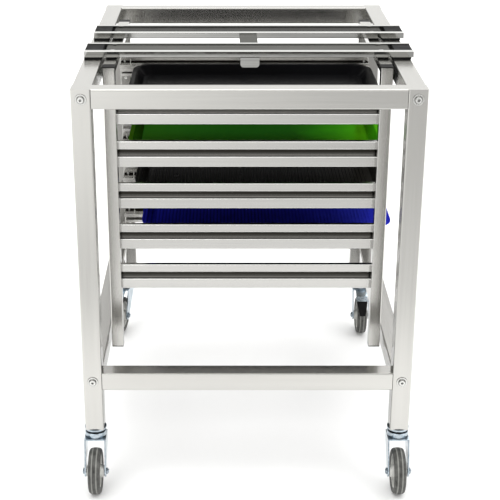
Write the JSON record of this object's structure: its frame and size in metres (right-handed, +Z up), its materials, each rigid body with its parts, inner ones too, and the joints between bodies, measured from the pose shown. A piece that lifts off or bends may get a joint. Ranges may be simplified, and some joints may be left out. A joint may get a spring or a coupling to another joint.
{
  "type": "sheet pan rack",
  "caption": "Stainless stand on swivel casters carrying a lift-out rack of ledges with black, green and blue pans.",
  "frame": {"origin": "on the floor under the middle of the overall box, to within 4 mm", "axes": "+Z up; +X along the short side, the way the pans pull out; +Y along the depth, away from the face with the finger tab"},
  "size_m": [0.6832, 0.8654, 0.8662],
  "materials": {
    "brushed_steel": "brushed stainless, satin",
    "runner_steel": "folded stainless sheet, bright satin",
    "polished_steel": "polished stainless",
    "zinc": "bluish zinc plate",
    "fastener": "stainless fasteners",
    "tyre_grey": "grey non-marking rubber",
    "wheel_plastic": "light grey moulded plastic",
    "cap_black": "black moulded plastic",
    "pad_black": "black rubber",
    "insert_plastic": "dark nylon",
    "pan_black_smooth": "smooth black non-stick coating",
    "pan_green": "gloss green non-stick coating",
    "pan_black_ribbed": "black non-stick coating",
    "pan_blue": "gloss blue non-stick coating"
  },
  "bodies": {
    "stand": {"caster_stems": "zinc", "frame_corner_bolts": "fastener", "leg_front_left": "brushed_steel", "leg_front_right": "brushed_steel", "leg_inserts": "insert_plastic", "leg_rear_left": "brushed_steel", "leg_rear_right": "brushed_steel", "lower_rail_front": "brushed_steel", "lower_rail_left": "brushed_steel", "lower_rail_rear": "brushed_steel", "lower_rail_right": "brushed_steel", "top_rail_front": "brushed_steel", "top_rail_left": "brushed_steel", "top_rail_rear": "brushed_steel", "top_rail_right": "brushed_steel"},
    "rack": {"crossbar_bolts": "fastener", "crossbar_clip": "polished_steel", "crossbar_front": "polished_steel", "crossbar_rear": "polished_steel", "crossbar_rubbers": "pad_black", "pan_stops": "runner_steel", "rack_post_caps": "cap_black", "rack_post_front_left": "brushed_steel", "rack_post_front_right": "brushed_steel", "rack_post_rear_left": "brushed_steel", "rack_post_rear_right": "brushed_steel", "rack_side_bars": "brushed_steel", "runner_front_1": "runner_steel", "runner_front_2": "runner_steel", "runner_front_3": "runner_steel", "runner_front_4": "runner_steel", "runner_front_5": "runner_steel", "runner_rear_1": "runner_steel", "runner_rear_2": "runner_steel", "runner_rear_3": "runner_steel", "runner_rear_4": "runner_steel", "runner_rear_5": "runner_steel", "runner_rivets": "fastener"},
    "pan_black_smooth": {"pan_black_smooth": "pan_black_smooth"},
    "pan_green": {"pan_green": "pan_green"},
    "pan_black_ribbed": {"pan_black_ribbed": "pan_black_ribbed"},
    "pan_blue": {"pan_blue": "pan_blue"},
    "fork_front_left": {"caster_fork_front_left": "zinc", "caster_axle_front_left": "zinc"},
    "wheel_front_left": {"caster_wheel_front_left": "wheel_plastic", "caster_tyre_front_left": "tyre_grey"},
    "fork_front_right": {"caster_fork_front_right": "zinc", "caster_axle_front_right": "zinc"},
    "wheel_front_right": {"caster_wheel_front_right": "wheel_plastic", "caster_tyre_front_right": "tyre_grey"},
    "fork_rear_left": {"caster_fork_rear_left": "zinc", "caster_axle_rear_left": "zinc", "caster_brake_rear_left": "pad_black"},
    "wheel_rear_left": {"caster_wheel_rear_left": "wheel_plastic", "caster_tyre_rear_left": "tyre_grey"},
    "fork_rear_right": {"caster_fork_rear_right": "zinc", "caster_axle_rear_right": "zinc", "caster_brake_rear_right": "pad_black"},
    "wheel_rear_right": {"caster_wheel_rear_right": "wheel_plastic", "caster_tyre_rear_right": "tyre_grey"}
  },
  "joints": [
    {"name": "rack_lift", "type": "slide", "parent": "stand", "child": "rack", "axis": [0, 0, 1], "range_m": [0, 0.62]},
    {"name": "pan_black_smooth_slide", "type": "slide", "parent": "rack", "child": "pan_black_smooth", "axis": [1, 0, 0], "range_m": [-0.0075, 0.48]},
    {"name": "pan_green_slide", "type": "slide", "parent": "rack", "child": "pan_green", "axis": [1, 0, 0], "range_m": [-0.0105, 0.48]},
    {"name": "pan_black_ribbed_slide", "type": "slide", "parent": "rack", "child": "pan_black_ribbed", "axis": [1, 0, 0], "range_m": [-0.022, 0.48]},
    {"name": "pan_blue_slide", "type": "slide", "parent": "rack", "child": "pan_blue", "axis": [1, 0, 0], "range_m": [-0.0347, 0.48]},
    {"name": "swivel_front_left", "type": "hinge", "parent": "stand", "child": "fork_front_left", "pos_m": [-0.311, -0.35175, 0.12], "axis": [0, 0, 1], "continuous": true},
    {"name": "roll_front_left", "type": "hinge", "parent": "fork_front_left", "child": "wheel_front_left", "pos_m": [-0.311, -0.38475, 0.048], "axis": [1, 0, 0], "continuous": true},
    {"name": "swivel_front_right", "type": "hinge", "parent": "stand", "child": "fork_front_right", "pos_m": [0.311, -0.35175, 0.12], "axis": [0, 0, 1], "continuous": true},
    {"name": "roll_front_right", "type": "hinge", "parent": "fork_front_right", "child": "wheel_front_right", "pos_m": [0.311, -0.38475, 0.048], "axis": [1, 0, 0], "continuous": true},
    {"name": "swivel_rear_left", "type": "hinge", "parent": "stand", "child": "fork_rear_left", "pos_m": [-0.311, 0.40825, 0.12], "axis": [0, 0, 1], "continuous": true},
    {"name": "roll_rear_left", "type": "hinge", "parent": "fork_rear_left", "child": "wheel_rear_left", "pos_m": [-0.31842, 0.3761, 0.048], "axis": [0.9744, -0.225, 0], "continuous": true},
    {"name": "swivel_rear_right", "type": "hinge", "parent": "stand", "child": "fork_rear_right", "pos_m": [0.311, 0.40825, 0.12], "axis": [0, 0, 1], "continuous": true},
    {"name": "roll_rear_right", "type": "hinge", "parent": "fork_rear_right", "child": "wheel_rear_right", "pos_m": [0.311, 0.37525, 0.048], "axis": [1, 0, 0], "continuous": true}
  ]
}
